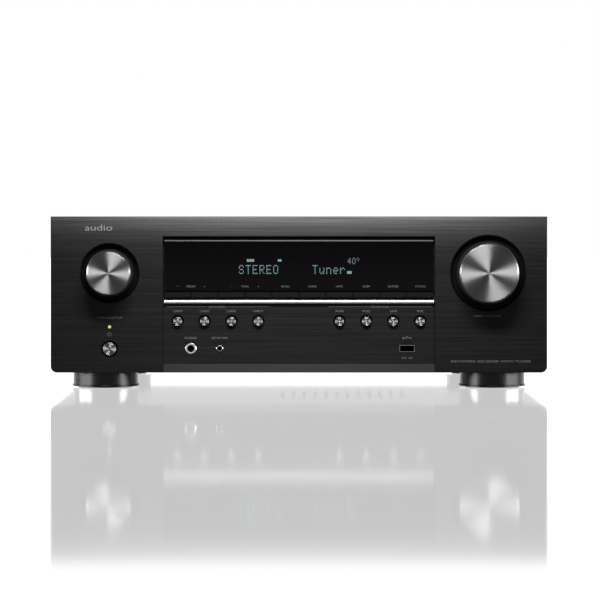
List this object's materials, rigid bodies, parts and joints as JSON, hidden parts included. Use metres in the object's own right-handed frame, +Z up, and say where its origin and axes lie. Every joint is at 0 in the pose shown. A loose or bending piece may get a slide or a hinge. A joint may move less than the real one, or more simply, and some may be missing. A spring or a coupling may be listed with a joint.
{
  "type": "stereo receiver",
  "caption": "Wide black receiver with two knobs, a dark display window over a row of keys, round buttons, front sockets, four feet and rear terminals with folding antennas.",
  "frame": {"origin": "on the plane of the feet, under the middle of the bounding box", "axes": "+X to the right as seen from the front, +Y from the front panel to the back, +Z up"},
  "size_m": [0.434, 0.339, 0.1505],
  "materials": {
    "black_front": "brushed black, satin",
    "smoked_window": "smoked acrylic, polished",
    "display_glass": "clear glass over dark segments",
    "silver_trim": "satin silver",
    "board": "green circuit board",
    "bright_socket": "bright ring, black inside",
    "black_socket": "black moulding",
    "bright_steel": "plated shell",
    "zinc_steel": "zinc-plated sheet",
    "black_steel": "fine textured black",
    "black_foot": "gloss black with grey pads",
    "black_screw": "black zinc",
    "iron_core": "varnished laminations",
    "heatsink_alloy": "extruded",
    "knob_grey": "dark grey, satin",
    "spun_alloy": "spun, dark anodised",
    "shaft_steel": "plain",
    "key_black": "satin black",
    "button_alloy": "spun, dark anodised",
    "antenna_black": "satin black",
    "cap_red": "red moulding",
    "cap_black": "black moulding"
  },
  "bodies": {
    "root": {"front_panel": "black_front", "display_window": "smoked_window", "display_module": "display_glass", "trim_bar": "silver_trim", "centre_panel": "black_front", "control_board": "board", "phones_jack": "bright_socket", "mic_jack": "black_socket", "usb_port": "bright_steel", "chassis": "zinc_steel", "top_cover": "black_steel", "rear_panel": "black_steel", "feet": "black_foot", "case_screws": "black_screw", "speaker_terminals": "black_socket", "digital_board": "board", "input_board": "board", "ac_inlet": "black_socket", "transformer": "iron_core", "heatsink": "heatsink_alloy", "amplifier_board": "board"},
    "source_dial": {"source_knob": "knob_grey", "source_knob_face": "spun_alloy", "source_encoder_shaft": "shaft_steel"},
    "volume_dial": {"volume_knob": "knob_grey", "volume_knob_face": "spun_alloy", "volume_encoder_shaft": "shaft_steel"},
    "power_button": {"power_button": "spun_alloy"},
    "key_preset_down": {"key_preset_down": "key_black"},
    "key_preset_up": {"key_preset_up": "key_black"},
    "key_tune_down": {"key_tune_down": "key_black"},
    "key_tune_up": {"key_tune_up": "key_black"},
    "key_band": {"key_band": "key_black"},
    "key_mode": {"key_mode": "key_black"},
    "key_info": {"key_info": "key_black"},
    "key_sleep": {"key_sleep": "key_black"},
    "key_dimmer": {"key_dimmer": "key_black"},
    "key_status": {"key_status": "key_black"},
    "quick_button_1": {"quick_button_1": "button_alloy"},
    "quick_button_2": {"quick_button_2": "button_alloy"},
    "quick_button_3": {"quick_button_3": "button_alloy"},
    "quick_button_4": {"quick_button_4": "button_alloy"},
    "sound_button_1": {"sound_button_1": "button_alloy"},
    "sound_button_2": {"sound_button_2": "button_alloy"},
    "sound_button_3": {"sound_button_3": "button_alloy"},
    "sound_button_4": {"sound_button_4": "button_alloy"},
    "left_antenna_base": {"left_antenna_base": "antenna_black"},
    "left_antenna_rod": {"left_antenna_rod": "antenna_black"},
    "right_antenna_base": {"right_antenna_base": "antenna_black"},
    "right_antenna_rod": {"right_antenna_rod": "antenna_black"},
    "cap_front_right_plus": {"cap_front_right_plus": "cap_red"},
    "cap_front_right_minus": {"cap_front_right_minus": "cap_black"},
    "cap_front_left_plus": {"cap_front_left_plus": "cap_red"},
    "cap_front_left_minus": {"cap_front_left_minus": "cap_black"},
    "cap_centre_plus": {"cap_centre_plus": "cap_red"},
    "cap_centre_minus": {"cap_centre_minus": "cap_black"},
    "cap_surround_right_plus": {"cap_surround_right_plus": "cap_red"},
    "cap_surround_right_minus": {"cap_surround_right_minus": "cap_black"},
    "cap_surround_left_plus": {"cap_surround_left_plus": "cap_red"},
    "cap_surround_left_minus": {"cap_surround_left_minus": "cap_black"}
  },
  "joints": [
    {"name": "source_dial_turn", "type": "hinge", "parent": "root", "child": "source_dial", "pos_m": [-0.1655, -0.1538, 0.1011], "axis": [0, 1, 0], "continuous": true},
    {"name": "volume_dial_turn", "type": "hinge", "parent": "root", "child": "volume_dial", "pos_m": [0.1655, -0.1538, 0.1011], "axis": [0, 1, 0], "continuous": true},
    {"name": "power_button_press", "type": "slide", "parent": "root", "child": "power_button", "axis": [0, 1, 0], "range_m": [0, 0.0008], "stiffness_N_per_m": 300, "springref_m": -0.0015},
    {"name": "key_preset_down_press", "type": "slide", "parent": "root", "child": "key_preset_down", "axis": [0, 1, 0], "range_m": [0, 0.0008], "stiffness_N_per_m": 300, "springref_m": -0.0015},
    {"name": "key_preset_up_press", "type": "slide", "parent": "root", "child": "key_preset_up", "axis": [0, 1, 0], "range_m": [0, 0.0008], "stiffness_N_per_m": 300, "springref_m": -0.0015},
    {"name": "key_tune_down_press", "type": "slide", "parent": "root", "child": "key_tune_down", "axis": [0, 1, 0], "range_m": [0, 0.0008], "stiffness_N_per_m": 300, "springref_m": -0.0015},
    {"name": "key_tune_up_press", "type": "slide", "parent": "root", "child": "key_tune_up", "axis": [0, 1, 0], "range_m": [0, 0.0008], "stiffness_N_per_m": 300, "springref_m": -0.0015},
    {"name": "key_band_press", "type": "slide", "parent": "root", "child": "key_band", "axis": [0, 1, 0], "range_m": [0, 0.0008], "stiffness_N_per_m": 300, "springref_m": -0.0015},
    {"name": "key_mode_press", "type": "slide", "parent": "root", "child": "key_mode", "axis": [0, 1, 0], "range_m": [0, 0.0008], "stiffness_N_per_m": 300, "springref_m": -0.0015},
    {"name": "key_info_press", "type": "slide", "parent": "root", "child": "key_info", "axis": [0, 1, 0], "range_m": [0, 0.0008], "stiffness_N_per_m": 300, "springref_m": -0.0015},
    {"name": "key_sleep_press", "type": "slide", "parent": "root", "child": "key_sleep", "axis": [0, 1, 0], "range_m": [0, 0.0008], "stiffness_N_per_m": 300, "springref_m": -0.0015},
    {"name": "key_dimmer_press", "type": "slide", "parent": "root", "child": "key_dimmer", "axis": [0, 1, 0], "range_m": [0, 0.0008], "stiffness_N_per_m": 300, "springref_m": -0.0015},
    {"name": "key_status_press", "type": "slide", "parent": "root", "child": "key_status", "axis": [0, 1, 0], "range_m": [0, 0.0008], "stiffness_N_per_m": 300, "springref_m": -0.0015},
    {"name": "quick_button_1_press", "type": "slide", "parent": "root", "child": "quick_button_1", "axis": [0, 1, 0], "range_m": [0, 0.0008], "stiffness_N_per_m": 300, "springref_m": -0.0015},
    {"name": "quick_button_2_press", "type": "slide", "parent": "root", "child": "quick_button_2", "axis": [0, 1, 0], "range_m": [0, 0.0008], "stiffness_N_per_m": 300, "springref_m": -0.0015},
    {"name": "quick_button_3_press", "type": "slide", "parent": "root", "child": "quick_button_3", "axis": [0, 1, 0], "range_m": [0, 0.0008], "stiffness_N_per_m": 300, "springref_m": -0.0015},
    {"name": "quick_button_4_press", "type": "slide", "parent": "root", "child": "quick_button_4", "axis": [0, 1, 0], "range_m": [0, 0.0008], "stiffness_N_per_m": 300, "springref_m": -0.0015},
    {"name": "sound_button_1_press", "type": "slide", "parent": "root", "child": "sound_button_1", "axis": [0, 1, 0], "range_m": [0, 0.0008], "stiffness_N_per_m": 300, "springref_m": -0.0015},
    {"name": "sound_button_2_press", "type": "slide", "parent": "root", "child": "sound_button_2", "axis": [0, 1, 0], "range_m": [0, 0.0008], "stiffness_N_per_m": 300, "springref_m": -0.0015},
    {"name": "sound_button_3_press", "type": "slide", "parent": "root", "child": "sound_button_3", "axis": [0, 1, 0], "range_m": [0, 0.0008], "stiffness_N_per_m": 300, "springref_m": -0.0015},
    {"name": "sound_button_4_press", "type": "slide", "parent": "root", "child": "sound_button_4", "axis": [0, 1, 0], "range_m": [0, 0.0008], "stiffness_N_per_m": 300, "springref_m": -0.0015},
    {"name": "left_antenna_swivel", "type": "hinge", "parent": "root", "child": "left_antenna_base", "pos_m": [-0.199, 0.1572, 0.134], "axis": [0, 1, 0], "range_deg": [0, 180]},
    {"name": "left_antenna_tilt", "type": "hinge", "parent": "left_antenna_base", "child": "left_antenna_rod", "pos_m": [-0.199, 0.1572, 0.134], "axis": [1, 0, 0], "range_deg": [0, 90]},
    {"name": "right_antenna_swivel", "type": "hinge", "parent": "root", "child": "right_antenna_base", "pos_m": [0.199, 0.1572, 0.134], "axis": [0, -1, 0], "range_deg": [0, 180]},
    {"name": "right_antenna_tilt", "type": "hinge", "parent": "right_antenna_base", "child": "right_antenna_rod", "pos_m": [0.199, 0.1572, 0.134], "axis": [1, 0, 0], "range_deg": [0, 90]},
    {"name": "cap_front_right_plus_unscrew", "type": "slide", "parent": "root", "child": "cap_front_right_plus", "axis": [0, 1, 0], "range_m": [0, 0.004]},
    {"name": "cap_front_right_minus_unscrew", "type": "slide", "parent": "root", "child": "cap_front_right_minus", "axis": [0, 1, 0], "range_m": [0, 0.004]},
    {"name": "cap_front_left_plus_unscrew", "type": "slide", "parent": "root", "child": "cap_front_left_plus", "axis": [0, 1, 0], "range_m": [0, 0.004]},
    {"name": "cap_front_left_minus_unscrew", "type": "slide", "parent": "root", "child": "cap_front_left_minus", "axis": [0, 1, 0], "range_m": [0, 0.004]},
    {"name": "cap_centre_plus_unscrew", "type": "slide", "parent": "root", "child": "cap_centre_plus", "axis": [0, 1, 0], "range_m": [0, 0.004]},
    {"name": "cap_centre_minus_unscrew", "type": "slide", "parent": "root", "child": "cap_centre_minus", "axis": [0, 1, 0], "range_m": [0, 0.004]},
    {"name": "cap_surround_right_plus_unscrew", "type": "slide", "parent": "root", "child": "cap_surround_right_plus", "axis": [0, 1, 0], "range_m": [0, 0.004]},
    {"name": "cap_surround_right_minus_unscrew", "type": "slide", "parent": "root", "child": "cap_surround_right_minus", "axis": [0, 1, 0], "range_m": [0, 0.004]},
    {"name": "cap_surround_left_plus_unscrew", "type": "slide", "parent": "root", "child": "cap_surround_left_plus", "axis": [0, 1, 0], "range_m": [0, 0.004]},
    {"name": "cap_surround_left_minus_unscrew", "type": "slide", "parent": "root", "child": "cap_surround_left_minus", "axis": [0, 1, 0], "range_m": [0, 0.004]}
  ]
}
